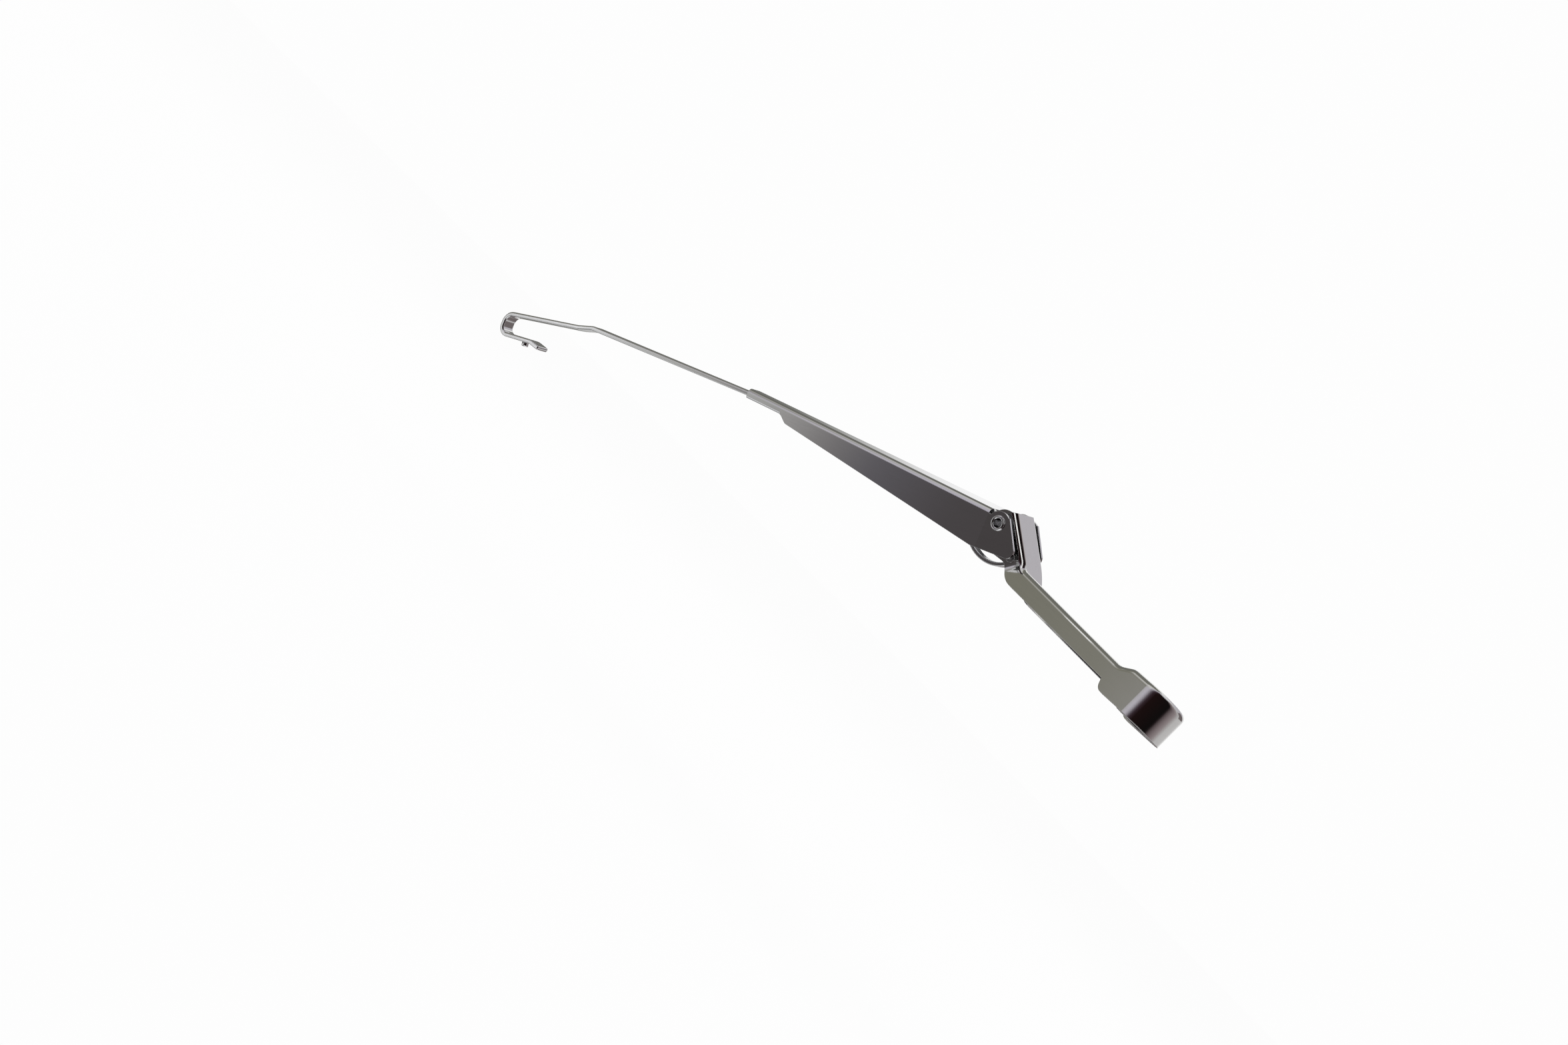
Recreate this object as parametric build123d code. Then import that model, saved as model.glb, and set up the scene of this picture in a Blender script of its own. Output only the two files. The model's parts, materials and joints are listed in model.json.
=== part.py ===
from build123d import *
import os
from math import acos, atan2, cos, degrees, radians, sin, sqrt, tan

# Wiper arm in polished steel, millimetres. The origin is on the spindle's axis at the hub's mouth.
# +Z runs out along the spindle, away from the glass, and +X from the arm's pivot towards the hub.
# The arm is drawn in its free pose, folded down past the glass as it is before it is fitted.

# Head: one inverted channel pressed from sheet, with a cup for the spindle at one end, a clevis at the other
head_sheet = 1.5          # sheet thickness
head_bend = 2.2           # outside radius where a web turns down into a wall
hub_radius = 9.4          # half the width of the cup, and the radius of its round end
hub_height = 12.65        # mouth to top
hub_straight = 15.0       # spindle axis back to the neck
hub_rise = 2.25           # top of the cup above the neck's web
hub_rise_start = 1.6      # level stretch before the web climbs to the cup's top
hub_rise_run = 5.0        # length of that climb
hub_rise_radius = 6.0     # easing of that climb
skirt_drop = 3.5          # mouth of the cup below the neck's walls
skirt_run = 1.8           # length over which the walls step down to the mouth
skirt_radius = 3.0        # rounding of the step's lower corner
neck_length = 56.2        # from the cup to the fold of the clevis
neck_slope = 2.7          # degrees the neck climbs towards the clevis
neck_depth = 7.4          # wall height at the fold
clevis_width = 13.8       # across the outside of the clevis
clevis_tilt = 41.8        # degrees the clevis web leans from the spindle's square plane
clevis_crank = 26.6       # degrees the clevis is turned in its own web plane
clevis_fold_radius = 2.0  # outside radius in the valley between clevis and neck
crank_radius = 5.0        # near wall's outside where the clevis turns aside from the fold
crank_to_pivot = 13.3     # end of that turn to the pivot, along the clevis
web_over_pivot = 5.5      # pivot axis below the outside of the clevis web
web_past_pivot = 2.0      # clevis web beyond the pivot axis
clevis_lug_radius = 5.0   # rounding of the clevis walls about the pivot
clevis_wall_drop = 5.7    # lowest part of the clevis walls below the pivot axis
clevis_wall_reach = 8.3   # where that lowest part ends, from the pivot
clevis_wall_climb = 4.0   # length over which their lower edge then climbs to the neck's
clevis_wall_ease = 2.5    # rounding of the corners of the clevis walls

# Arm channel: tapered inverted channel, its front crimped round the bar
channel_sheet = 1.0       # sheet thickness
channel_bend = 1.8        # outside radius where the web turns into a wall
channel_fold = 54.1       # degrees between the channel and the clevis in the free pose
channel_length = 117.0    # pivot to the tip of the nose
channel_width = 21.2      # across the outside at the pivot
nose_width = 8.4          # across the outside at the tip of the nose
nose_length = 17.4        # crimped stretch
shoulder_length = 3.2     # nose to full walls
shoulder_drop = 2.2       # depth gained over the shoulder
shoulder_radius = 2.0     # rounding of the shoulder
nose_ease = 1.0           # rounding of the nose's lower edges, where the lips turn under the bar
web_height = 3.5          # outside of the web above the pivot axis, at the web's end
web_rise = 0.7            # how much higher the web stands at the nose
web_setback = 4.6         # end of the web in front of the pivot axis
notch_run = 0.8           # relief between the web's end and the pivot lug, as deep as the bend
channel_lug_radius = 4.0  # top of the walls about the pivot
wall_depth = 10.6         # lowest point of the walls below the pivot axis
wall_depth_at = 6.8       # that point's distance in front of the pivot axis
wall_heel_depth = 9.2     # lower edge below the pivot axis at the heel
wall_heel_reach = 11.4    # heel corner behind the pivot axis
wall_heel_radius = 2.5    # rounding of the heel corner
wall_end_reach = 3.2      # upper corner of the end edge behind the pivot axis
wall_end_height = 3.0     # upper corner of the end edge above the pivot axis
seam_width = 1.6          # gap between the two crimped lips under the nose

# Bar: flat strip, crimped in the nose and bent into a hook for the blade
bar_width = 6.2
bar_thick = 1.7
bar_inside = 31.0         # length of full width behind the tip of the nose
rod_length = 78.5         # nose to the joggle
rod_slope = 2.4           # degrees the rod falls towards the tip
joggle_run = 6.9          # length of the joggle
joggle_drop = 2.1         # drop over the joggle
leg_length = 36.3         # joggle to the back of the hook
leg_slope = 11.1          # degrees the hook's upper leg falls towards the tip
hook_height = 8.1         # middle of the upper leg to middle of the lower leg at the back
hook_top_radius = 4.2     # middle-line radius of the hook's upper corner
hook_low_radius = 3.0     # middle-line radius of the hook's lower corner
hook_return = 16.2        # length of the lower leg
hook_return_slope = 7.2   # degrees the lower leg climbs towards the opening
hook_lip = 5.3            # lip at the end of the lower leg
hook_lip_turn = 17.0      # degrees the lip turns down from the lower leg
blade_nib_radius = 1.4    # nib pressed out under the lower leg, which locks the blade
blade_nib_height = 1.6
blade_nib_ease = 0.6      # rounding of the nib
blade_nib_back = 4.1      # nib centre to the start of the lip
bar_bend_radius = 5.0     # easing of the bar's slight bends
tongue_width = 2.2        # narrow tail of the bar inside the spring
tongue_lead = 2.0         # level stretch of the tail
tongue_step = 3.9         # how far the tail drops to the spring's axis
tongue_step_run = 5.0     # length of that step
tongue_reach = 14.5       # tail inside the spring, past the step

# Pivot: tubular rivet through clevis and channel, spacer tube inside, a washer each side
rivet_radius = 2.1
rivet_bore_radius = 1.45
rivet_head_radius = 2.6
rivet_head_thick = 0.7
rivet_head_ease = 0.4     # chamfer round the head
spacer_radius = 2.6
washer_radius = 3.8
washer_gap = 0.15         # washer clear of clevis and channel, each side
running_gap = 0.06        # radial clearance of a turning pin
seat_gap = 0.02           # radial clearance of a fixed pin

# Spring drive: cross pin in the clevis, hooked link round the pivot, coil inside the channel
spring_pin_along = 11.4   # cross pin from the pivot along the clevis
spring_pin_above = 0.6    # cross pin above the pivot axis, towards the clevis web
spring_pin_radius = 1.5
link_thick = 1.4
link_width = 4.0          # hooked part
link_neck_radius = 4.0    # bend between shank and hook, on the middle line
link_centre_ahead = 2.9   # centre of the hook's big arc in front of the pivot axis
link_centre_below = 1.15  # centre of the hook's big arc below the pivot axis
shank_width = 2.2         # flat shank inside the coil
shank_start = 18.0        # shank's front end behind the foot of the tongue
coil_start = 10.0         # first turn behind the foot of the tongue
coil_length = 28.0
coil_diameter = 4.8       # across the outside
coil_wire = 0.9           # across the flats of the wire
coil_turns = 14
coil_sides = 12           # straight runs that stand for the round of one turn

# Spindle socket and its clip inside the cup
spindle_radius = 4.0      # bore for the spindle
spindle_depth = 8.7       # depth of that bore
bush_gap = 0.05           # bush clear of the cup's wall
bush_flat = 5.6           # flat on the neck side of the bush, from the axis
bush_chamfer = 1.0        # top edge of the bush, clear of the cup's inner bend
clip_thick = 0.7
clip_width = 4.4
clip_lip = 0.9            # lip turned in under the bush
clip_foot = 4.6           # foot turned back under the neck's web
clip_bend = 1.0           # middle-line radius of the clip's bends
clip_gap = 0.15           # clip clear of its slot in the bush

same_place = 0.01         # points nearer than this count as one


def turned(direction, other, angle):
    """The unit vector at an angle in degrees from one direction towards another one square to it."""
    return direction * cos(radians(angle)) + other * sin(radians(angle))


# Directions of the clevis and of the arm, and the place of the pivot
across = Vector(0, 1, 0)
clevis_up = Vector(sin(radians(clevis_tilt)), 0, cos(radians(clevis_tilt)))
clevis_fall = Vector(cos(radians(clevis_tilt)), 0, -sin(radians(clevis_tilt)))
neck_fall = Vector(cos(radians(neck_slope)), 0, -sin(radians(neck_slope)))
clevis_along = turned(clevis_fall, across, clevis_crank)
pivot_axis = turned(across, clevis_fall, -clevis_crank)
arm_along = turned(clevis_along, clevis_up, channel_fold)
arm_up = turned(clevis_up, clevis_along, -channel_fold)

neck_web = hub_height - hub_rise
fold_x = -hub_straight - neck_length
fold_z = neck_web + neck_length * tan(radians(neck_slope))
fold_turn = clevis_tilt - neck_slope
fold_tangent = clevis_fold_radius * tan(radians(fold_turn / 2))
fold_start = Vector(fold_x, 0, fold_z) - clevis_fall * fold_tangent
crank_centre = fold_start - across * (hub_radius + crank_radius)
crank_end = crank_centre + pivot_axis * (hub_radius + crank_radius)
pivot = crank_centre - clevis_along * crank_to_pivot
pivot += pivot_axis * (crank_radius + clevis_width / 2) - clevis_up * web_over_pivot
clevis_frame = Plane(origin=pivot, x_dir=clevis_along, z_dir=clevis_up)
arm_frame = Plane(origin=pivot, x_dir=arm_along, z_dir=arm_up)


def channel_face(plane, near, far, depth, sheet, bend):
    """An inverted channel's section: walls at near and far, the outside of its web on the plane's x axis."""
    outer = plane * Pos((near + far) / 2, -depth / 2) * Rectangle(far - near, depth)
    outer = fillet(outer.vertices().sort_by(Axis(plane.origin, plane.y_dir))[-2:], bend)
    inner = plane * Pos((near + far) / 2, -sheet - depth / 2) * Rectangle(far - near - 2 * sheet, depth)
    inner = fillet(inner.vertices().sort_by(Axis(plane.origin, plane.y_dir))[-2:], bend - sheet)
    return outer - inner


def cylinder_between(plane, radius, start, end):
    """A round bar along a plane's y direction, from one distance to the other."""
    turned_plane = Plane(origin=plane.origin + plane.y_dir * start, z_dir=plane.y_dir)
    return extrude(turned_plane * Circle(radius), amount=end - start)


def corners_at(face, points):
    """The corners of a flat face that lie at the given points."""
    return face.vertices().filter_by(
        lambda v: any(abs(v.X - x) + abs(v.Y - y) < same_place for x, y in points)
    )


def side_prism(plane, face, half_width):
    """A face drawn in a plane's x and z directions, thickened equally to both sides."""
    upright = Plane(origin=plane.origin, x_dir=plane.x_dir, z_dir=-plane.y_dir)
    return extrude(upright * face, amount=half_width, both=True)


# Head pressing
def clevis_side():
    """Outline of the clevis walls along the clevis and up, about the pivot."""
    wall_end = neck_depth - web_over_pivot
    past_crank = crank_to_pivot + clevis_width
    over_web = web_over_pivot + head_sheet
    inside_lug = clevis_lug_radius - head_sheet / 6
    lowest = (clevis_wall_reach, -clevis_wall_drop)
    climbed = (clevis_wall_reach + clevis_wall_climb, -wall_end)
    face = make_face(Polyline(
        (-web_past_pivot, over_web),
        (-inside_lug, 0),
        (0, -inside_lug),
        lowest,
        climbed,
        (past_crank, -wall_end),
        (past_crank, over_web),
        close=True,
    ))
    return fillet(corners_at(face, [lowest, climbed]), clevis_wall_ease) + Circle(clevis_lug_radius)


def hub_side(top_drop, bottom):
    """Outline of the cup from the side: the climb of its top and the step of its skirt."""
    back = -hub_straight
    front = hub_radius + head_sheet
    climb_start = back + hub_rise_start
    low_web = neck_web - top_drop
    top = hub_height - top_drop
    climb = [(climb_start, low_web), (climb_start + hub_rise_run, top)]
    step = (back + skirt_run, 0)
    points = [(back, low_web), *climb, (front, top), (front, bottom)]
    if bottom == 0:
        points += [step, (back, skirt_drop)]
    else:
        points += [(back, bottom)]
    face = make_face(Polyline(*points, close=True))
    face = fillet(corners_at(face, climb), hub_rise_radius)
    if bottom == 0:
        face = fillet(corners_at(face, [step]), skirt_radius)
    return face


def hub_block(radius, top_drop, bottom, bend):
    """The cup's outside, or the space inside it, with its top edges rounded."""
    plan = Pos(-hub_straight / 2, 0) * Rectangle(hub_straight, 2 * radius) + Circle(radius)
    block = extrude(plan, amount=2 * hub_height, both=True)
    block &= extrude(Plane.XZ * hub_side(top_drop, bottom), amount=2 * hub_radius, both=True)
    rim = block.edges().filter_by(lambda e: e.center().Z > neck_web - top_drop - same_place)
    crossing = rim.filter_by(Axis.Y)
    return fillet([edge for edge in rim if edge not in crossing], bend)


def head_pressing():
    far_wall = clevis_width - hub_radius
    neck_start = Vector(fold_x, 0, fold_z) + neck_fall * fold_tangent
    clevis_end = Plane(origin=crank_end, x_dir=pivot_axis, z_dir=clevis_along)
    fold_end = Plane(origin=fold_start, x_dir=across, z_dir=clevis_fall)
    neck_end = Plane(origin=neck_start, x_dir=across, z_dir=neck_fall)
    hub_end = Plane(origin=(-hub_straight, 0, neck_web), x_dir=across, z_dir=(1, 0, 0))
    deep = web_over_pivot + clevis_wall_drop + head_sheet
    reach = crank_to_pivot + clevis_width + clevis_lug_radius
    clevis_face = channel_face(clevis_end, -hub_radius, far_wall, deep, head_sheet, head_bend)
    fold_face = channel_face(fold_end, -hub_radius, far_wall, neck_depth, head_sheet, head_bend)
    neck_face = channel_face(neck_end, -hub_radius, far_wall, neck_depth, head_sheet, head_bend)
    hub_face = channel_face(hub_end, -hub_radius, hub_radius, neck_web - skirt_drop, head_sheet, head_bend)
    clevis = extrude(clevis_face, amount=reach, dir=-clevis_along)
    clevis &= side_prism(clevis_frame, clevis_side(), clevis_width)
    crank = revolve(fold_face, Axis(crank_centre, clevis_up), clevis_crank)
    fold = revolve(fold_face, Axis(fold_start + clevis_up * clevis_fold_radius, -across), fold_turn)
    neck = loft([neck_face, hub_face], ruled=True)
    cup = hub_block(hub_radius, 0, 0, head_bend)
    cup -= hub_block(hub_radius - head_sheet, head_sheet, -hub_height, head_bend - head_sheet)
    head = clevis + crank + fold + neck + cup
    head -= cylinder_between(clevis_frame, rivet_radius + running_gap, -clevis_width, clevis_width)
    head -= cylinder_between(spring_pin_frame, spring_pin_radius + seat_gap, -clevis_width, clevis_width)
    return head


spring_pin_place = pivot + clevis_along * spring_pin_along + clevis_up * spring_pin_above
spring_pin_frame = Plane(origin=spring_pin_place, x_dir=clevis_along, z_dir=clevis_up)


# Spindle socket and clip
def spindle_bush():
    radius = hub_radius - head_sheet - bush_gap
    top = hub_height - head_sheet
    body = extrude(Circle(radius), amount=top)
    body = chamfer(body.edges().filter_by(GeomType.CIRCLE).sort_by(Axis.Z)[-1], bush_chamfer)
    cut = Pos(-bush_flat - radius, 0, 0) * Box(2 * radius, 2 * radius, 4 * top)
    body -= cut
    body -= extrude(Circle(spindle_radius), amount=spindle_depth)
    slot_depth = clip_gap + clip_thick + clip_bend
    slot = Pos(-bush_flat + clip_lip / 2, 0, slot_depth / 2)
    return body - slot * Box(clip_lip + 2 * clip_gap, clip_width + 2 * clip_gap, slot_depth)


def retaining_clip():
    half = clip_thick / 2
    back = -bush_flat - half
    low = clip_gap + half
    high = neck_web - head_sheet - half
    path = FilletPolyline(
        (-bush_flat + clip_lip, 0, low),
        (back, 0, low),
        (back, 0, high),
        (back - clip_foot, 0, high),
        radius=clip_bend,
    )
    section = Plane(origin=path @ 0, x_dir=across, z_dir=path % 0) * Rectangle(clip_width, clip_thick)
    return sweep(section, path)


# Arm channel
def channel_side():
    """Outline of the channel from the side, along the arm and up, about the pivot."""
    nose_back = -channel_length + nose_length
    tip = -channel_length
    nose_low = web_top(tip) - 2 * channel_sheet - bar_thick
    heel = (wall_heel_reach, -wall_heel_depth)
    shoulder = [(nose_back + shoulder_length, nose_low - shoulder_drop), (nose_back, nose_low)]
    face = make_face(Polyline(
        (tip, web_top(tip)),
        (-web_setback, web_height),
        (-web_setback, web_height - channel_bend),
        (-web_setback + notch_run, web_height - channel_bend),
        (0, web_height - channel_bend),
        (wall_end_reach, wall_end_height),
        heel,
        (-wall_depth_at, -wall_depth),
        *shoulder,
        (tip, nose_low),
        close=True,
    ))
    face = fillet(corners_at(face, [heel]), wall_heel_radius)
    face = fillet(corners_at(face, shoulder), shoulder_radius)
    return face + Circle(channel_lug_radius)


def web_top(x):
    """Height of the web's outside: it climbs a little from its end to the nose."""
    share = max(0, (-x - web_setback) / (channel_length - web_setback))
    return web_height + web_rise * share


def channel_half(x):
    """Half the width outside the channel: a straight taper in front of the web's end, parallel behind it."""
    share = min(1, (x + channel_length) / (channel_length - web_setback))
    return (nose_width + (channel_width - nose_width) * share) / 2


def channel_block(front, back, inset, bend):
    """A tapered block with its two upper edges rounded: the channel's outside, or the space inside it."""
    deep = 2 * wall_depth
    ends = []
    for x in (front, back):
        half = channel_half(x) - inset
        plane = Plane(origin=(x, 0, web_top(x) - inset), x_dir=(0, 1, 0), z_dir=(1, 0, 0))
        face = plane * Pos(0, -deep / 2) * Rectangle(2 * half, deep)
        ends.append(fillet(face.vertices().sort_by(Axis.Z)[-2:], bend))
    return loft(ends, ruled=True)


def nose_corners():
    """What the rounding of the nose's two lower edges takes away, from the tip to the shoulder."""
    tip = -channel_length
    shoulder_turn = degrees(atan2(shoulder_drop, shoulder_length))
    back = tip + nose_length - shoulder_radius * tan(radians(shoulder_turn / 2))
    low = web_top(tip) - 2 * channel_sheet - bar_thick
    ends = []
    for x in (tip, back):
        plane = Plane(origin=(x, 0, low), x_dir=(0, 1, 0), z_dir=(1, 0, 0))
        square = plane * Pos(0, nose_ease) * Rectangle(2 * channel_half(x), 2 * nose_ease)
        eased = fillet(square.vertices().sort_by(Axis.Z)[:2], nose_ease)
        ends.append((square, eased))
    return loft([e[0] for e in ends], ruled=True) - loft([e[1] for e in ends], ruled=True)


def arm_channel():
    reach = wall_heel_reach + web_setback
    tall = 4 * wall_depth
    nose_back = -channel_length + nose_length
    web_end = -web_setback
    body = channel_block(-channel_length, web_end, 0, channel_bend)
    body -= channel_block(nose_back, web_end, channel_sheet, channel_bend - channel_sheet)
    for side in (-1, 1):
        middle = side * (channel_width - channel_sheet) / 2
        body += Pos(web_end + reach / 2, middle, 0) * Box(reach, channel_sheet, tall)
    body &= side_prism(Plane.XY, channel_side(), channel_width)
    body -= nose_corners()
    body -= Pos(-channel_length, 0, bar_middle) * Box(3 * nose_length, bar_width, bar_thick)
    body -= Pos(-channel_length, 0, bar_middle - tall / 2) * Box(3 * nose_length, seam_width, tall)
    body -= cylinder_between(Plane.XY, rivet_radius + seat_gap, -channel_width, channel_width)
    return arm_frame.location * body


# Hook bar
bar_middle = web_top(bar_inside + tongue_lead - channel_length) - channel_sheet - bar_thick / 2
tongue_start = -channel_length + bar_inside + tongue_lead
tongue_foot = Vector(tongue_start + tongue_step_run, 0, bar_middle - tongue_step)
pin_in_arm = Vector(
    spring_pin_along * cos(radians(channel_fold)) + spring_pin_above * sin(radians(channel_fold)), 0,
    -spring_pin_along * sin(radians(channel_fold)) + spring_pin_above * cos(radians(channel_fold)),
)
spring_line = (pin_in_arm - tongue_foot).normalized()


def flat_strip(path, width, thick):
    """A flat strip of rectangular section, lying along a path in the arm's side plane."""
    return sweep(Plane(origin=path @ 0, x_dir=across, z_dir=path % 0) * Rectangle(width, thick), path)


def away(angle):
    """Unit direction towards the tip of the arm, falling by an angle in degrees."""
    return Vector(-cos(radians(angle)), 0, -sin(radians(angle)))


def hook_bar():
    start = Vector(-channel_length + bar_inside, 0, bar_middle)
    nose = Vector(-channel_length, 0, bar_middle)
    rod_end = nose + away(rod_slope) * rod_length
    leg_start = rod_end + Vector(-joggle_run, 0, -joggle_drop)
    back_top = leg_start + away(leg_slope) * leg_length
    back_low = back_top + Vector(0, 0, -hook_height)
    lip_start = back_low - away(hook_return_slope) * hook_return
    lip_end = lip_start - away(hook_return_slope - hook_lip_turn) * hook_lip
    radii = [bar_bend_radius] * 3 + [hook_top_radius, hook_low_radius, bar_bend_radius]
    points = [start, nose, rod_end, leg_start, back_top, back_low, lip_start, lip_end]
    bar = flat_strip(FilletPolyline(*points, radius=radii), bar_width, bar_thick)
    nib_place = lip_start + away(hook_return_slope) * blade_nib_back
    nib_line = Vector(sin(radians(hook_return_slope)), 0, -cos(radians(hook_return_slope)))
    nib_foot = Plane(origin=nib_place, z_dir=nib_line) * Circle(blade_nib_radius)
    nib = extrude(nib_foot, amount=bar_thick / 2 + blade_nib_height)
    nib_rim = nib.edges().filter_by(GeomType.CIRCLE).sort_by(Axis(nib_place, nib_line))[-1]
    bar += fillet(nib_rim, blade_nib_ease)
    root = start + Vector(-bar_thick, 0, 0)
    step = tongue_foot + Vector(-tongue_step_run, 0, tongue_step)
    tail = FilletPolyline(root, step, tongue_foot, tongue_foot + spring_line * tongue_reach, radius=bar_thick)
    bar += flat_strip(tail, tongue_width, bar_thick)
    return arm_frame.location * bar


# Pivot rivet, spacer and washers
def pivot_rivet():
    half = channel_width / 2
    rivet = cylinder_between(Plane.XY, rivet_radius, -half, half)
    for side in (-1, 1):
        head = cylinder_between(Plane.XY, rivet_head_radius, side * half, side * (half + rivet_head_thick))
        rim = head.edges().filter_by(GeomType.CIRCLE).sort_by(lambda e: abs(e.center().Y))[-1]
        rivet += chamfer(rim, rivet_head_ease)
    rivet -= cylinder_between(Plane.XY, rivet_bore_radius, -channel_width, channel_width)
    return arm_frame.location * rivet


def pivot_spacer():
    half = clevis_width / 2 - head_sheet
    tube = cylinder_between(clevis_frame, spacer_radius, -half, half)
    return tube - cylinder_between(clevis_frame, rivet_radius + running_gap, -clevis_width, clevis_width)


def pivot_washers():
    start = clevis_width / 2 + washer_gap
    end = channel_width / 2 - channel_sheet - washer_gap
    pair = []
    for side in (-1, 1):
        ring = cylinder_between(Plane.XY, washer_radius, side * start, side * end)
        ring -= cylinder_between(Plane.XY, rivet_radius + running_gap, -channel_width, channel_width)
        pair.append(arm_frame.location * ring)
    return Compound(children=pair)


# Spring drive
def spring_pin():
    half = clevis_width / 2
    return cylinder_between(spring_pin_frame, spring_pin_radius, -half, half)


def spring_link():
    """Flat shank along the spring line, a short bend, and a big arc under the pivot to an eye on the pin."""
    centre = Vector(-link_centre_ahead, 0, -link_centre_below)
    radius = (pin_in_arm - centre).length
    square = Vector(-spring_line.Z, 0, spring_line.X)
    over_line = (centre - tongue_foot).dot(square)
    reach = sqrt((radius + link_neck_radius) ** 2 - (over_line + link_neck_radius) ** 2)
    shank_end = (centre - tongue_foot).dot(spring_line) - reach
    neck_turn = degrees(acos((over_line + link_neck_radius) / (radius + link_neck_radius)))
    side = Plane(origin=(0, 0, 0), x_dir=(1, 0, 0), z_dir=(0, -1, 0))
    line_from = tongue_foot + spring_line * shank_start
    line_to = tongue_foot + spring_line * shank_end
    shank = Line(line_from, line_to)
    flat = [(v.X, v.Z) for v in (line_to, spring_line, centre, pin_in_arm)]
    bend = JernArc(flat[0], flat[1], link_neck_radius, -neck_turn)
    end = bend @ 1
    heading = bend % 1
    from_angle = degrees(atan2(end.Y - flat[2][1], end.X - flat[2][0]))
    to_angle = degrees(atan2(flat[3][1] - flat[2][1], flat[3][0] - flat[2][0]))
    arc = JernArc((end.X, end.Y), (heading.X, heading.Y), radius, (to_angle - from_angle) % 360)
    hook = side * (bend + arc)
    link = flat_strip(shank, shank_width, link_thick) + flat_strip(Wire(hook.edges()), link_width, link_thick)
    pin_plane = Plane(origin=pin_in_arm)
    eye_radius = spring_pin_radius + running_gap + link_thick
    link += cylinder_between(pin_plane, eye_radius, -link_width / 2, link_width / 2)
    link -= cylinder_between(pin_plane, spring_pin_radius + running_gap, -link_width, link_width)
    return arm_frame.location * link


def tension_spring():
    radius = (coil_diameter - coil_wire) / 2
    rise = coil_length / coil_turns / coil_sides
    corners = []
    for step in range(coil_turns * coil_sides + 1):
        angle = radians(360 / coil_sides * step)
        corners.append((radius * cos(angle), radius * sin(angle), rise * step))
    path = Polyline(*corners)
    wire = Plane(origin=path @ 0, z_dir=path % 0) * RegularPolygon(coil_wire / 2, 6)
    coil = sweep(wire, path, transition=Transition.RIGHT)
    seat = Plane(origin=tongue_foot + spring_line * coil_start, z_dir=spring_line)
    return arm_frame.location * (seat.location * coil)


os.makedirs("parts", exist_ok=True)
for make in (
    head_pressing, spindle_bush, retaining_clip, arm_channel, hook_bar, pivot_rivet, pivot_spacer,
    pivot_washers, spring_pin, spring_link, tension_spring,
):
    export_step(make(), os.path.join("parts", make.__name__ + ".step"))
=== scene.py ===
import json
import math

import bmesh
import bpy
from mathutils import Matrix, Vector


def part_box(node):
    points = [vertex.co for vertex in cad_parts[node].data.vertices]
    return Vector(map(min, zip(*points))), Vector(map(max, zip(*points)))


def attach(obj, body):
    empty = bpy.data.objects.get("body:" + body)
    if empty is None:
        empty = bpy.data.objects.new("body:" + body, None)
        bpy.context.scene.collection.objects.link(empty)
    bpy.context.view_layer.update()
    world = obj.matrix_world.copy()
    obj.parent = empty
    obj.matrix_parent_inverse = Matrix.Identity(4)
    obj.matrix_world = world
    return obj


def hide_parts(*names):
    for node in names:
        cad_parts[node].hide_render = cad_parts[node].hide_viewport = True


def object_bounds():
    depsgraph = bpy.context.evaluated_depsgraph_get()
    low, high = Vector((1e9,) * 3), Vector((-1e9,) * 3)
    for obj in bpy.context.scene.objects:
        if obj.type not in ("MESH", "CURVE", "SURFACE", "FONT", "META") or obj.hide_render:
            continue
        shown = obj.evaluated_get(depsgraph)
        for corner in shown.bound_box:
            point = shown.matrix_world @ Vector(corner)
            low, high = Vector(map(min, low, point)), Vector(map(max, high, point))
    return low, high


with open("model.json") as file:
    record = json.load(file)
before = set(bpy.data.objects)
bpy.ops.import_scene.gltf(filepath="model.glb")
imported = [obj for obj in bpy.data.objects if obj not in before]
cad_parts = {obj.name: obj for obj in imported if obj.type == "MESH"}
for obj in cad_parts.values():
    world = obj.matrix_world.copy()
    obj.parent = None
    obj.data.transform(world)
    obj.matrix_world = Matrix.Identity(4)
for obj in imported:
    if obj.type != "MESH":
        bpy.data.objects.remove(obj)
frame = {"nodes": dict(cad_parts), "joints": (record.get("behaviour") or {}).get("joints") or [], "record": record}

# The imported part's box, taken before any piece is added
cad_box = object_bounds()


# Head pressing: cup, neck and clevis in one piece of sheet steel, drawn and folded in dies.
# The outside is ground, buffed and bright plated, so it mirrors what is round it.
# Buffing leaves faint lines along it, and the cut edges of the sheet are rubbed a little duller.


def new_group(name, inputs, outputs):
    """An empty shader node group with its sockets; gives it and its input and output nodes."""
    group = bpy.data.node_groups.new(name, "ShaderNodeTree")
    for label, kind, value in inputs:
        socket = group.interface.new_socket(label, in_out="INPUT", socket_type=kind)
        if value is not None:
            socket.default_value = value
    for label, kind in outputs:
        group.interface.new_socket(label, in_out="OUTPUT", socket_type=kind)
    return group, group.nodes.new("NodeGroupInput"), group.nodes.new("NodeGroupOutput")


def feed(tree, socket, value):
    """Links a socket to another one, or gives it a plain number or colour."""
    if isinstance(value, bpy.types.NodeSocket):
        tree.links.new(value, socket)
    elif isinstance(value, tuple):
        socket.default_value = (*value, 1)
    else:
        socket.default_value = value


def math_node(tree, operation, *values):
    """A Math node whose inputs are numbers or sockets; gives its output socket."""
    node = tree.nodes.new("ShaderNodeMath")
    node.operation = operation
    for socket, value in zip(node.inputs, values):
        feed(tree, socket, value)
    return node.outputs[0]


def noise_node(tree, vector, scale, detail, roughness):
    """A Noise Texture read at a vector socket; gives its value socket."""
    node = tree.nodes.new("ShaderNodeTexNoise")
    tree.links.new(vector, node.inputs["Vector"])
    feed(tree, node.inputs["Scale"], scale)
    feed(tree, node.inputs["Detail"], detail)
    feed(tree, node.inputs["Roughness"], roughness)
    return node.outputs["Fac"]


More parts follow.
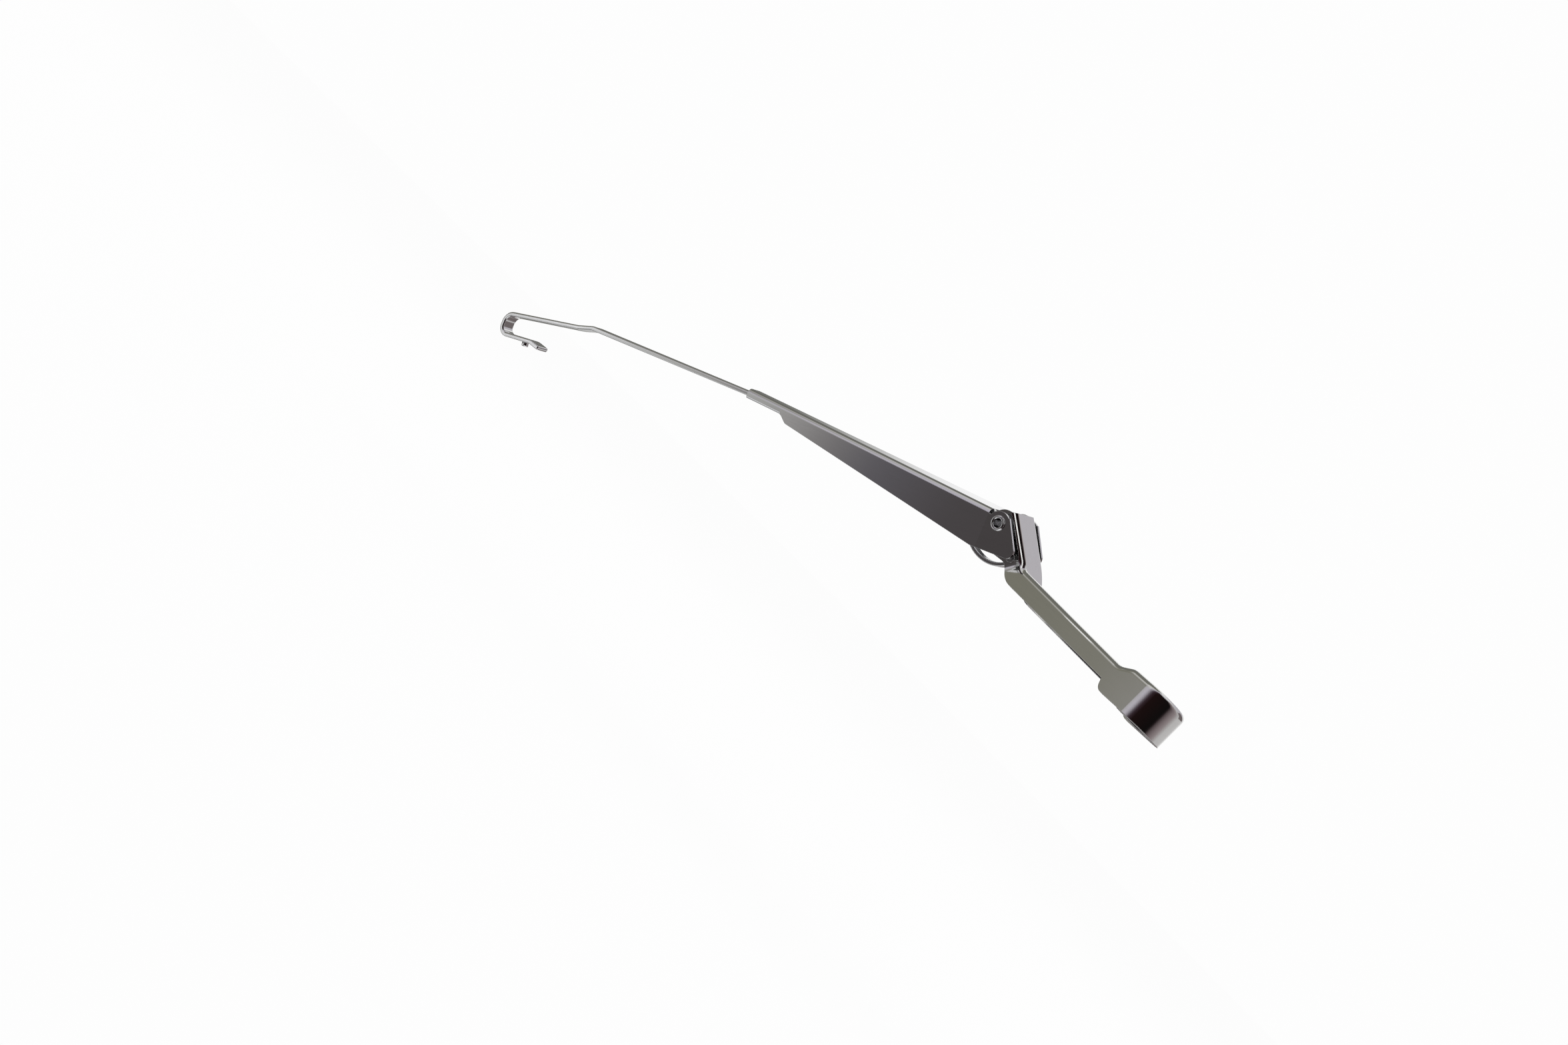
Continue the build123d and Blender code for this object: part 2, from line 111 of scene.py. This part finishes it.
def spread(tree, value, source, target):
    """A clamped Map Range from one (low, high) pair onto another; gives its result socket."""
    node = tree.nodes.new("ShaderNodeMapRange")
    for socket, number in zip(node.inputs[1:5], (*source, *target)):
        socket.default_value = number
    tree.links.new(value, node.inputs["Value"])
    return node.outputs["Result"]


def mixed_colour(tree, share, first, second):
    """A mix of two colours, each plain or a socket, by a share socket; gives its colour socket."""
    node = tree.nodes.new("ShaderNodeMix")
    node.data_type = "RGBA"
    tree.links.new(share, node.inputs["Factor"])
    feed(tree, node.inputs["A"], first)
    feed(tree, node.inputs["B"], second)
    return next(socket for socket in node.outputs if socket.type == "RGBA")


# Fine lines left by a buffing wheel, read in coordinates stretched along the piece
buffing_lines, given, made = new_group(
    "buffing_lines",
    inputs=[("Vector", "NodeSocketVector", None)],
    outputs=[("Height", "NodeSocketFloat"), ("Haze", "NodeSocketFloat")],
)
fine_lines = noise_node(buffing_lines, given.outputs["Vector"], scale=1.0, detail=5, roughness=0.65)
broad_lines = noise_node(buffing_lines, given.outputs["Vector"], scale=0.22, detail=2, roughness=0.5)
streaks = spread(buffing_lines, fine_lines, source=(0.35, 0.7), target=(0.3, 1))
haze = math_node(buffing_lines, "MULTIPLY", streaks, broad_lines)
buffing_lines.links.new(fine_lines, made.inputs["Height"])
buffing_lines.links.new(haze, made.inputs["Haze"])

# Where a cut edge or corner is rubbed: the normal rounded over a small radius leaves the true one
edge_rub, given, made = new_group(
    "edge_rub",
    inputs=[("Radius", "NodeSocketFloat", 0.0003)],
    outputs=[("Mask", "NodeSocketFloat"), ("Normal", "NodeSocketVector")],
)
rounded = edge_rub.nodes.new("ShaderNodeBevel")
rounded.samples = 4
edge_rub.links.new(given.outputs["Radius"], rounded.inputs["Radius"])
true_face = edge_rub.nodes.new("ShaderNodeNewGeometry")
agree = edge_rub.nodes.new("ShaderNodeVectorMath")
agree.operation = "DOT_PRODUCT"
edge_rub.links.new(rounded.outputs["Normal"], agree.inputs[0])
edge_rub.links.new(true_face.outputs["Normal"], agree.inputs[1])
edge_mask = spread(edge_rub, agree.outputs["Value"], source=(0.99, 0.8), target=(0, 1))
edge_rub.links.new(edge_mask, made.inputs["Mask"])
edge_rub.links.new(rounded.outputs["Normal"], made.inputs["Normal"])

# Soft smears and dust that handling leaves on a bright face
handling, given, made = new_group(
    "handling",
    inputs=[("Vector", "NodeSocketVector", None), ("Size", "NodeSocketFloat", 60.0)],
    outputs=[("Smear", "NodeSocketFloat"), ("Specks", "NodeSocketFloat")],
)
smear_noise = noise_node(handling, given.outputs["Vector"], given.outputs["Size"], detail=3, roughness=0.5)
smears = spread(handling, smear_noise, source=(0.45, 0.75), target=(0, 1))
speck_noise = noise_node(handling, given.outputs["Vector"], scale=1400.0, detail=2, roughness=0.5)
specks = spread(handling, speck_noise, source=(0.68, 0.76), target=(0, 1))
handling.links.new(smears, made.inputs["Smear"])
handling.links.new(specks, made.inputs["Specks"])

# How much the rubbed edges dull the metal, and how much smears and specks roughen it
edge_dulling = 0.6
smear_share = 0.35
speck_share = 0.4


def group_node(tree, group):
    """A node group placed in a material."""
    node = tree.nodes.new("ShaderNodeGroup")
    node.node_tree = group
    return node


def metal_finish(name, bright, dull, smooth, rough, direction, line_length, line_width, line_depth, rub):
    """A metal in two close tones, roughened by lines and smears, with rounded and rubbed edges."""
    material = bpy.data.materials.new(name)
    material.use_nodes = True
    tree = material.node_tree
    shader = tree.nodes["Principled BSDF"]
    shader.inputs["Metallic"].default_value = 1.0
    place = tree.nodes.new("ShaderNodeTexCoord")
    along = tree.nodes.new("ShaderNodeMapping")
    along.vector_type = "TEXTURE"
    along.inputs["Rotation"].default_value = direction.to_track_quat("X", "Z").to_euler()
    along.inputs["Scale"].default_value = (line_length, line_width, line_width)
    tree.links.new(place.outputs["Object"], along.inputs["Vector"])
    lines = group_node(tree, buffing_lines)
    tree.links.new(along.outputs["Vector"], lines.inputs["Vector"])
    marks = group_node(tree, handling)
    tree.links.new(place.outputs["Object"], marks.inputs["Vector"])
    rubbed = group_node(tree, edge_rub)
    rubbed.inputs["Radius"].default_value = rub
    worn = math_node(tree, "MULTIPLY", rubbed.outputs["Mask"], edge_dulling)
    worn = math_node(tree, "MAXIMUM", worn, lines.outputs["Haze"])
    tree.links.new(mixed_colour(tree, worn, bright, dull), shader.inputs["Base Color"])
    clouded = math_node(tree, "MULTIPLY_ADD", marks.outputs["Smear"], smear_share, lines.outputs["Haze"])
    dusted = math_node(tree, "MULTIPLY_ADD", marks.outputs["Specks"], speck_share, clouded)
    gloss = spread(tree, dusted, source=(0, 1), target=(smooth, rough))
    tree.links.new(gloss, shader.inputs["Roughness"])
    bump = tree.nodes.new("ShaderNodeBump")
    bump.inputs["Strength"].default_value = 1.0
    bump.inputs["Distance"].default_value = line_depth
    tree.links.new(lines.outputs["Height"], bump.inputs["Height"])
    tree.links.new(rubbed.outputs["Normal"], bump.inputs["Normal"])
    tree.links.new(bump.outputs["Normal"], shader.inputs["Normal"])
    return material


def finish_node(name, material):
    """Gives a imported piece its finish."""
    slots = frame["nodes"][name].data.materials
    slots.clear()
    slots.append(material)


head_line = Vector((1, 0, 0))
finish_node("head_pressing", metal_finish(
    "bright_plated_head", bright=(0.80, 0.80, 0.79), dull=(0.72, 0.72, 0.71), smooth=0.05, rough=0.16,
    direction=head_line, line_length=0.012, line_width=0.0004, line_depth=0.0000006, rub=0.0002,
))


# Spindle bush: a plug of die-cast zinc alloy pressed up into the cup, with the spindle's bore in it.
# It keeps the grey, slightly grainy skin of the casting, with fine drawing lines up the bore.
spindle_up = Vector((0, 0, 1))
finish_node("spindle_bush", metal_finish(
    "cast_alloy", bright=(0.60, 0.60, 0.60), dull=(0.46, 0.46, 0.46), smooth=0.32, rough=0.55,
    direction=spindle_up, line_length=0.004, line_width=0.0003, line_depth=0.000004, rub=0.0003,
))


# Retaining clip: a strip of blued spring steel bent in a step behind the bush.
# Its lip snaps under the spindle's shoulder and its foot lies under the neck's web.
finish_node("retaining_clip", metal_finish(
    "spring_strip", bright=(0.42, 0.42, 0.44), dull=(0.30, 0.30, 0.32), smooth=0.22, rough=0.42,
    direction=spindle_up, line_length=0.003, line_width=0.0002, line_depth=0.000002, rub=0.0002,
))


# Pivot spacer and spring pin: turned mild steel, a tube on the rivet and a cross pin in the clevis.
# Both keep fine turning lines round them and are bright but not buffed.
pivot_joint = next(j for j in frame["joints"] if j["name"] == "arm_pivot")
link_joint = next(j for j in frame["joints"] if j["name"] == "link_swing")
pivot_line = Vector(pivot_joint["axis"]).normalized()
pivot_place = Vector(pivot_joint["pos_m"])
spring_pin_place = Vector(link_joint["pos_m"])
turned_steel = metal_finish(
    "turned_steel", bright=(0.70, 0.70, 0.71), dull=(0.56, 0.56, 0.57), smooth=0.14, rough=0.32,
    direction=pivot_line, line_length=0.0003, line_width=0.002, line_depth=0.000001, rub=0.0002,
)
finish_node("pivot_spacer", turned_steel)
finish_node("spring_pin", turned_steel)


# Arm channel: a tapered channel folded from sheet steel, crimped flat round the bar at its front.
# It is buffed along its length and bright plated like the head.
hook_place = next(Vector(m["pos_m"]) for m in frame["record"]["mounts"] if m["name"] == "blade_hook")
arm_line = pivot_place - hook_place
arm_line = (arm_line - pivot_line * arm_line.dot(pivot_line)).normalized()
finish_node("arm_channel", metal_finish(
    "bright_plated_arm", bright=(0.80, 0.80, 0.81), dull=(0.72, 0.72, 0.73), smooth=0.05, rough=0.16,
    direction=arm_line, line_length=0.012, line_width=0.0004, line_depth=0.0000006, rub=0.0002,
))


# Hook bar: one flat strip of spring steel, crimped in the nose, joggled and bent into the blade's hook.
# The strip is rolled, so its edges are rounded, and it is bent first and bright plated after.
scene = bpy.context.scene
merge_distance = 0.000002
flat_angle = math.radians(1)
corner_angle = math.radians(45)
ease_steps = 4


def new_piece(name, shape):
    """Makes a finished bmesh an object of the scene; gives the object."""
    mesh = bpy.data.meshes.new(name)
    shape.to_mesh(mesh)
    shape.free()
    piece = bpy.data.objects.new(name, mesh)
    scene.collection.objects.link(piece)
    return piece


def eased_copy(node, name, ease):
    """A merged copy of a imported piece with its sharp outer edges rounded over; gives the new object."""
    strip = bmesh.new()
    strip.from_mesh(frame["nodes"][node].data)
    bmesh.ops.remove_doubles(strip, verts=strip.verts, dist=merge_distance)
    bmesh.ops.dissolve_limit(strip, angle_limit=flat_angle, verts=strip.verts, edges=strip.edges)
    outer_edges = [edge for edge in strip.edges if edge.is_manifold and edge.is_convex]
    corners = [edge for edge in outer_edges if edge.calc_face_angle() > corner_angle]
    bmesh.ops.bevel(
        strip, geom=corners, offset=ease, offset_type="OFFSET", segments=ease_steps, profile=0.5,
        affect="EDGES", material=-1, clamp_overlap=True,
    )
    for face in strip.faces:
        face.smooth = True
    piece = new_piece(name, strip)
    piece.data.set_sharp_from_angle(angle=corner_angle)
    piece.modifiers.new("flat_faces_stay_flat", "WEIGHTED_NORMAL").keep_sharp = True
    return piece


bar_edge_ease = 0.0006
bar_piece = eased_copy("hook_bar", "hook_strip", bar_edge_ease)
bar_piece.data.materials.append(metal_finish(
    "bright_plated_bar", bright=(0.82, 0.82, 0.82), dull=(0.72, 0.72, 0.73), smooth=0.10, rough=0.24,
    direction=arm_line, line_length=0.010, line_width=0.0003, line_depth=0.0000008, rub=0.0002,
))
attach(bar_piece, "arm")
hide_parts("hook_bar")


# Pivot rivet: a tube of mild steel passed through channel, washers and clevis, its ends rolled over.
# The rolled rims are bright, and their hollow stays open.
rivet_half = 0.0106
rivet_radius = 0.0021
rivet_bore_radius = 0.00145
rivet_rim_radius = 0.0026
rivet_rim_height = 0.0007
rim_steps = 10
rivet_sides = 48
rim_corner_angle = math.radians(40)
rim_middle = (rivet_bore_radius + rivet_rim_radius) / 2
rim_half = (rivet_rim_radius - rivet_bore_radius) / 2
rim_foot = rivet_half + rivet_rim_height - rim_half
rivet_outline = [(rivet_bore_radius, 0), (rivet_bore_radius, rivet_half)]
for step in range(rim_steps + 1):
    angle = math.pi * (1 - step / rim_steps)
    rivet_outline.append((rim_middle + rim_half * math.cos(angle), rim_foot + rim_half * math.sin(angle)))
rivet_outline += [(rivet_rim_radius, rivet_half), (rivet_radius, rivet_half), (rivet_radius, 0)]
rivet = bmesh.new()
rivet_points = [rivet.verts.new((radius, 0, height)) for radius, height in rivet_outline]
rivet_edges = [rivet.edges.new(pair) for pair in zip(rivet_points, rivet_points[1:])]
bmesh.ops.spin(
    rivet, geom=rivet_points + rivet_edges, cent=(0, 0, 0), axis=(0, 0, 1), angle=math.tau,
    steps=rivet_sides, use_merge=True,
)
rivet_end = rivet.verts[:] + rivet.edges[:] + rivet.faces[:]
bmesh.ops.mirror(rivet, geom=rivet_end, axis="Z", merge_dist=merge_distance)
bmesh.ops.remove_doubles(rivet, verts=rivet.verts, dist=merge_distance)
bmesh.ops.recalc_face_normals(rivet, faces=rivet.faces)
rivet_turn = pivot_line.to_track_quat("Z", "X").to_matrix().to_4x4()
bmesh.ops.transform(rivet, verts=rivet.verts, matrix=Matrix.Translation(pivot_place) @ rivet_turn)
for face in rivet.faces:
    face.smooth = True
rivet_piece = new_piece("rolled_rivet", rivet)
rivet_piece.data.set_sharp_from_angle(angle=rim_corner_angle)
rivet_piece.data.materials.append(turned_steel)
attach(rivet_piece, "arm")
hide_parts("pivot_rivet")


# Pivot washers: two thick rings of black nylon that keep the clevis centred between the channel's walls.
# They are moulded, with a fine matt skin.
nylon_dark = (0.018, 0.018, 0.020)
nylon_pale = (0.045, 0.045, 0.048)
nylon_specular = 0.4
nylon_skin_depth = 0.00002
nylon = bpy.data.materials.new("moulded_nylon")
nylon.use_nodes = True
nylon_tree = nylon.node_tree
nylon_shader = nylon_tree.nodes["Principled BSDF"]
nylon_shader.inputs["Specular IOR Level"].default_value = nylon_specular
nylon_place = nylon_tree.nodes.new("ShaderNodeTexCoord")
nylon_skin = noise_node(nylon_tree, nylon_place.outputs["Object"], scale=2200.0, detail=3, roughness=0.6)
nylon_tone = mixed_colour(nylon_tree, nylon_skin, nylon_dark, nylon_pale)
nylon_gloss = spread(nylon_tree, nylon_skin, source=(0.3, 0.7), target=(0.42, 0.62))
nylon_bump = nylon_tree.nodes.new("ShaderNodeBump")
nylon_bump.inputs["Distance"].default_value = nylon_skin_depth
nylon_tree.links.new(nylon_tone, nylon_shader.inputs["Base Color"])
nylon_tree.links.new(nylon_gloss, nylon_shader.inputs["Roughness"])
nylon_tree.links.new(nylon_skin, nylon_bump.inputs["Height"])
nylon_tree.links.new(nylon_bump.outputs["Normal"], nylon_shader.inputs["Normal"])
finish_node("pivot_washers", nylon)


# Spring link: a strip of plated steel, straight inside the coil and hooked round under the pivot.
# Its eye turns on the cross pin, and it carries the spring's pull to the head.
link_edge_ease = 0.0005
link_piece = eased_copy("spring_link", "link_strip", link_edge_ease)
link_piece.data.materials.append(metal_finish(
    "bright_plated_link", bright=(0.78, 0.78, 0.79), dull=(0.66, 0.66, 0.67), smooth=0.14, rough=0.32,
    direction=arm_line, line_length=0.006, line_width=0.0003, line_depth=0.000001, rub=0.0002,
))
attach(link_piece, "link")
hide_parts("spring_link")


# Tension spring: round spring-steel wire wound in one open helix between the bar's tail and the link.
# The wire is drawn and oiled, and its ends are cut square.
coil_wire = 0.0009
coil_diameter = 0.0048
coil_length = 0.028
coil_turns = 14
coil_steps = 20
wire_sides = 10
coil_pitch = coil_length / coil_turns
coil_low, coil_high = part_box("tension_spring")
coil_middle = (coil_low + coil_high) / 2
coil_line = spring_pin_place - coil_middle
coil_line = (coil_line - pivot_line * coil_line.dot(pivot_line)).normalized()
coil_turn = coil_line.to_track_quat("Z", "X").to_matrix().to_4x4()
wire_place = Matrix.Translation(((coil_diameter - coil_wire) / 2, 0, 0))
drawn_wire = metal_finish(
    "drawn_wire", bright=(0.46, 0.46, 0.48), dull=(0.34, 0.34, 0.36), smooth=0.18, rough=0.36,
    direction=pivot_line, line_length=0.002, line_width=0.0002, line_depth=0.000001, rub=0.00008,
)


def wound_turns(name, first_turn, turns, body):
    """Some whole turns of the coil, as one piece that rides a body."""
    coil = bmesh.new()
    bmesh.ops.create_circle(
        coil, cap_ends=True, segments=wire_sides, radius=coil_wire / 2,
        matrix=wire_place @ Matrix.Rotation(math.pi / 2, 4, "X"),
    )
    bmesh.ops.spin(
        coil, geom=coil.faces[:] + coil.edges[:] + coil.verts[:], cent=(0, 0, 0), axis=(0, 0, 1),
        dvec=(0, 0, coil_pitch / coil_steps), angle=math.tau * turns,
        steps=turns * coil_steps, use_merge=False, use_duplicate=False,
    )
    bmesh.ops.translate(coil, verts=coil.verts, vec=(0, 0, first_turn * coil_pitch - coil_length / 2))
    bmesh.ops.recalc_face_normals(coil, faces=coil.faces)
    bmesh.ops.transform(coil, verts=coil.verts, matrix=Matrix.Translation(coil_middle) @ coil_turn)
    for face in coil.faces:
        face.smooth = len(face.verts) == 4
    piece = new_piece(name, coil)
    piece.data.materials.append(drawn_wire)
    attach(piece, body)
    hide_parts("tension_spring")


# The turns on the bar's tail ride the arm and the rest the link, so the coil opens there as it stretches
tail_turns = 3
wound_turns("coil_tail_turns", 0, tail_turns, "arm")
wound_turns("coil_spring", tail_turns, coil_turns - tail_turns, "link")


# Floor and surroundings: a plain white floor and sky, as the part would stand in a light tent.
# Panels of the tent are grey, dark or tinted, because a plated part shows what stands round it.
# The camera sees only white: the tent and its cards show in the metal alone, and cast no shadow.
white = (0.985, 0.985, 0.985)
floor_drop = 0.06
floor_size = 8.0
floor_grey = (0.9, 0.9, 0.9)
floor_glow_share = 0.9
floor = bmesh.new()
bmesh.ops.create_grid(floor, x_segments=1, y_segments=1, size=floor_size)
bmesh.ops.translate(floor, verts=floor.verts, vec=(0, 0, cad_box[0].z - floor_drop))
floor_piece = new_piece("floor", floor)
floor_piece.visible_glossy = False


def seen_by_eye_or_gloss(tree):
    """A share that is one for camera, glossy and transmission rays and zero for the rest."""
    path = tree.nodes.new("ShaderNodeLightPath")
    share = math_node(tree, "ADD", path.outputs["Is Camera Ray"], path.outputs["Is Glossy Ray"])
    share = math_node(tree, "ADD", share, path.outputs["Is Transmission Ray"])
    return math_node(tree, "MINIMUM", share, 1.0)


floor_white = bpy.data.materials.new("floor_white")
floor_white.use_nodes = True
floor_tree = floor_white.node_tree
floor_tree.nodes.remove(floor_tree.nodes["Principled BSDF"])
floor_matt = floor_tree.nodes.new("ShaderNodeBsdfDiffuse")
feed(floor_tree, floor_matt.inputs["Color"], floor_grey)
floor_glow = floor_tree.nodes.new("ShaderNodeEmission")
feed(floor_tree, floor_glow.inputs["Color"], white)
floor_mix = floor_tree.nodes.new("ShaderNodeMixShader")
floor_share = math_node(floor_tree, "MULTIPLY", seen_by_eye_or_gloss(floor_tree), floor_glow_share)
floor_tree.links.new(floor_share, floor_mix.inputs["Fac"])
floor_tree.links.new(floor_matt.outputs["BSDF"], floor_mix.inputs[1])
floor_tree.links.new(floor_glow.outputs["Emission"], floor_mix.inputs[2])
floor_tree.links.new(floor_mix.outputs["Shader"], floor_tree.nodes["Material Output"].inputs["Surface"])
floor_piece.data.materials.append(floor_white)

world = bpy.data.worlds.new("white_tent")
world.use_nodes = True
scene.world = world
world_tree = world.node_tree
tent_light = world_tree.nodes["Background"]
feed(world_tree, tent_light.inputs["Color"], (1, 1, 1))
tent_white = world_tree.nodes.new("ShaderNodeBackground")
feed(world_tree, tent_white.inputs["Color"], white)
tent_mix = world_tree.nodes.new("ShaderNodeMixShader")
world_tree.links.new(seen_by_eye_or_gloss(world_tree), tent_mix.inputs["Fac"])
world_tree.links.new(tent_light.outputs["Background"], tent_mix.inputs[1])
world_tree.links.new(tent_white.outputs["Background"], tent_mix.inputs[2])
world_tree.links.new(tent_mix.outputs["Shader"], world_tree.nodes["World Output"].inputs["Surface"])


def glowing(name):
    """An emission material for the surroundings; gives it, its tree and its colour socket."""
    material = bpy.data.materials.new(name)
    material.use_nodes = True
    tree = material.node_tree
    tree.nodes.remove(tree.nodes["Principled BSDF"])
    glow = tree.nodes.new("ShaderNodeEmission")
    tree.links.new(glow.outputs["Emission"], tree.nodes["Material Output"].inputs["Surface"])
    return material, tree, glow.inputs["Color"]


def surroundings(name, shape, material):
    """A stage piece that only the metal mirrors."""
    piece = new_piece(name, shape)
    piece.data.materials.append(material)
    piece.visible_camera = False
    piece.visible_diffuse = False
    piece.visible_shadow = False


def object_place(tree):
    """The X, Y and Z sockets of a point in the piece's own coordinates."""
    place = tree.nodes.new("ShaderNodeTexCoord")
    parts = tree.nodes.new("ShaderNodeSeparateXYZ")
    tree.links.new(place.outputs["Object"], parts.inputs["Vector"])
    return parts.outputs["X"], parts.outputs["Y"], parts.outputs["Z"]


def graded(tree, place, tones):
    """Cloth or card graded along a place socket between (place, colour) tones; gives its colour socket."""
    first, last = tones[0][0], tones[-1][0]
    ramp = tree.nodes.new("ShaderNodeValToRGB")
    for tone_place, colour in tones[1:-1]:
        ramp.color_ramp.elements.new((tone_place - first) / (last - first)).color = (*colour, 1)
    ramp.color_ramp.elements[0].color = (*tones[0][1], 1)
    ramp.color_ramp.elements[-1].color = (*tones[-1][1], 1)
    tree.links.new(spread(tree, place, source=(first, last), target=(0, 1)), ramp.inputs["Fac"])
    return ramp.outputs["Color"]


# The tent: a sphere of cloth round the part, graded round its sides, pale overhead and white below.
# Places round it are azimuths in degrees from -Y towards +X, and its heights are elevations in degrees.
side_tones = (
    (-180, (0.62, 0.61, 0.61)), (-155, (0.98, 0.98, 0.98)), (-126, (0.98, 0.98, 0.98)),
    (-120, (0.19, 0.19, 0.175)), (-84, (0.165, 0.165, 0.15)), (-50, (0.205, 0.200, 0.160)),
    (-42, (0.235, 0.23, 0.195)), (-32, (0.52, 0.50, 0.535)), (-26, (0.545, 0.52, 0.575)),
    (-20, (0.48, 0.455, 0.51)), (-14, (0.34, 0.315, 0.35)), (-7, (0.115, 0.095, 0.115)),
    (0, (0.038, 0.022, 0.028)), (12, (0.013, 0.006, 0.006)), (78, (0.006, 0.005, 0.005)),
    (84, (0.018, 0.012, 0.013)), (90, (0.085, 0.065, 0.068)), (104, (0.21, 0.17, 0.177)),
    (121, (0.32, 0.275, 0.28)), (142, (0.56, 0.55, 0.55)), (180, (0.62, 0.61, 0.61)),
)
roof_tone = (0.62, 0.61, 0.64)
side_top = 72
side_foot = -38
side_soft = 7
tent_radius = 1.5
tent = bmesh.new()
bmesh.ops.create_uvsphere(tent, u_segments=48, v_segments=24, radius=tent_radius)
tent_paint, tent_tree, tent_glow = glowing("tent_cloth")
tent_x, tent_y, tent_z = object_place(tent_tree)
tent_front = math_node(tent_tree, "MULTIPLY", tent_y, -1.0)
tent_azimuth = math_node(tent_tree, "ARCTAN2", tent_x, tent_front)
tent_azimuth = math_node(tent_tree, "DEGREES", tent_azimuth)
tent_elevation = math_node(tent_tree, "ARCSINE", math_node(tent_tree, "DIVIDE", tent_z, tent_radius))
tent_elevation = math_node(tent_tree, "DEGREES", tent_elevation)
overhead = spread(tent_tree, tent_elevation, source=(side_top, side_top + side_soft), target=(0, 1))
underfoot = spread(tent_tree, tent_elevation, source=(side_foot, side_foot - side_soft), target=(0, 1))
tent_colour = graded(tent_tree, tent_azimuth, side_tones)
tent_colour = mixed_colour(tent_tree, overhead, tent_colour, roof_tone)
tent_colour = mixed_colour(tent_tree, underfoot, tent_colour, white)

# Panels hang in front of the cloth, the first lowest: azimuths, elevations, soft side, soft height, colour
half_turn = 180
tent_panels = (
    ((-150, 30), (-90, -42), 20, 7, (0.34, 0.34, 0.34)),
    ((-76, -45), (-62, -9), 6, 4, (0.80, 0.80, 0.80)),
    ((-140, -124), (-5, 2), 2, 2, (0.12, 0.11, 0.11)),
    ((-50, -28), (34, 46), 7, 20, (0.66, 0.65, 0.64)),
    ((-150, -119), (34, 60), 5, 4, (0.90, 0.90, 0.88)),
    ((150, 215), (30, 60), 10, 8, (0.54, 0.52, 0.555)),
    ((148, 180), (9, 40), 5, 4, (0.17, 0.145, 0.145)),
    ((174, 222), (-26, -3), 3, 3, (0.17, 0.145, 0.145)),
)
for (start, end), (low, high), soft_side, soft_height, colour in tent_panels:
    half = (end - start) / 2
    turn = math_node(tent_tree, "SUBTRACT", tent_azimuth, (start + end) / 2)
    turn = math_node(tent_tree, "WRAP", turn, half_turn, -half_turn)
    reach = math_node(tent_tree, "ABSOLUTE", turn)
    beside = spread(tent_tree, reach, source=(half, half + soft_side), target=(1, 0))
    under = spread(tent_tree, tent_elevation, source=(high, high + soft_height), target=(1, 0))
    above = spread(tent_tree, tent_elevation, source=(low - soft_height, low), target=(0, 1))
    within = math_node(tent_tree, "MULTIPLY", beside, math_node(tent_tree, "MULTIPLY", under, above))
    tent_colour = mixed_colour(tent_tree, within, tent_colour, colour)
tent_tree.links.new(tent_colour, tent_glow)
surroundings("tent", tent, tent_paint)


def card(name, middle, away, long, wide, material):
    """A flat card about a middle point, square to a direction, its long side level with X."""
    sheet = bmesh.new()
    bmesh.ops.create_grid(sheet, x_segments=1, y_segments=1, size=0.5)
    bmesh.ops.scale(sheet, verts=sheet.verts, vec=(long, wide, 1))
    along = (Vector((1, 0, 0)) - away * away.x).normalized()
    axes = Matrix((along, away.cross(along), away)).transposed()
    bmesh.ops.transform(sheet, verts=sheet.verts, matrix=Matrix.Translation(middle) @ axes.to_4x4())
    surroundings(name, sheet, material)


# The low card: a graded grey card in front of the arm and below it, which its near edges and wall mirror.
# It runs from near black by the pivot to pale by the hook, and its tones are set by the distance along X.
card_tones = (
    (-0.43, (0.16, 0.16, 0.14)), (-0.405, (0.25, 0.25, 0.22)), (-0.393, (0.84, 0.84, 0.85)),
    (-0.368, (0.88, 0.88, 0.89)), (-0.365, (0.98, 0.98, 0.98)), (-0.356, (0.98, 0.98, 0.98)),
    (-0.350, (0.66, 0.66, 0.66)), (-0.31, (0.46, 0.46, 0.44)),
    (-0.285, (0.36, 0.35, 0.34)), (-0.265, (0.22, 0.21, 0.21)), (-0.24, (0.125, 0.118, 0.130)),
    (-0.20, (0.080, 0.072, 0.074)), (-0.12, (0.068, 0.061, 0.061)),
)
card_paint, card_tree, card_glow = glowing("graded_card")
card_x = object_place(card_tree)[0]
card_tree.links.new(graded(card_tree, card_x, card_tones), card_glow)
card_middle = Vector((-0.247, -0.317, -0.159))
card_away = Vector((-0.30, -0.83, -0.47)).normalized()
card("low_card", card_middle, card_away, long=0.56, wide=0.17, material=card_paint)

# The bend card: a small white card close to the clevis, which draws a bright line along its near bend
bend_paint, bend_tree, bend_glow = glowing("white_card")
feed(bend_tree, bend_glow, white)
bend_middle = Vector((-0.0675, -0.0373, 0.0322))
bend_away = Vector((0.484, -0.775, 0.407)).normalized()
card("bend_card", bend_middle, bend_away, long=0.036, wide=0.011, material=bend_paint)


# Lamp and camera: one wide soft lamp over the part, and a normal lens level with the part.
# The camera is rolled by an eighth of a turn, and the picture's tones are left as they are rendered.
key_place = Vector((-0.5, 0.3, 1.4))
key_aim = Vector((-0.15, -0.03, 0))
key_lamp = bpy.data.lights.new("soft_key", "AREA")
key_lamp.shape = "DISK"
key_lamp.size = 1.2
key_lamp.energy = 4.0
key_object = bpy.data.objects.new("soft_key", key_lamp)
key_object.location = key_place
key_object.rotation_euler = (key_aim - key_place).to_track_quat("-Z", "Y").to_euler()
scene.collection.objects.link(key_object)

camera_place = Vector((0.44274, -0.52631, -0.03146))
view_right = Vector((0.4545, 0.5417, 0.7071))
view_up = Vector((-0.4545, -0.5417, 0.7071))
camera = bpy.data.cameras.new("photo_view")
camera.sensor_width = 36.0
camera.lens = 51.43
camera_object = bpy.data.objects.new("photo_view", camera)
camera_axes = Matrix((view_right, view_up, view_right.cross(view_up))).transposed()
camera_object.matrix_world = Matrix.Translation(camera_place) @ camera_axes.to_4x4()
scene.collection.objects.link(camera_object)
scene.camera = camera_object
scene.view_settings.view_transform = "Standard"
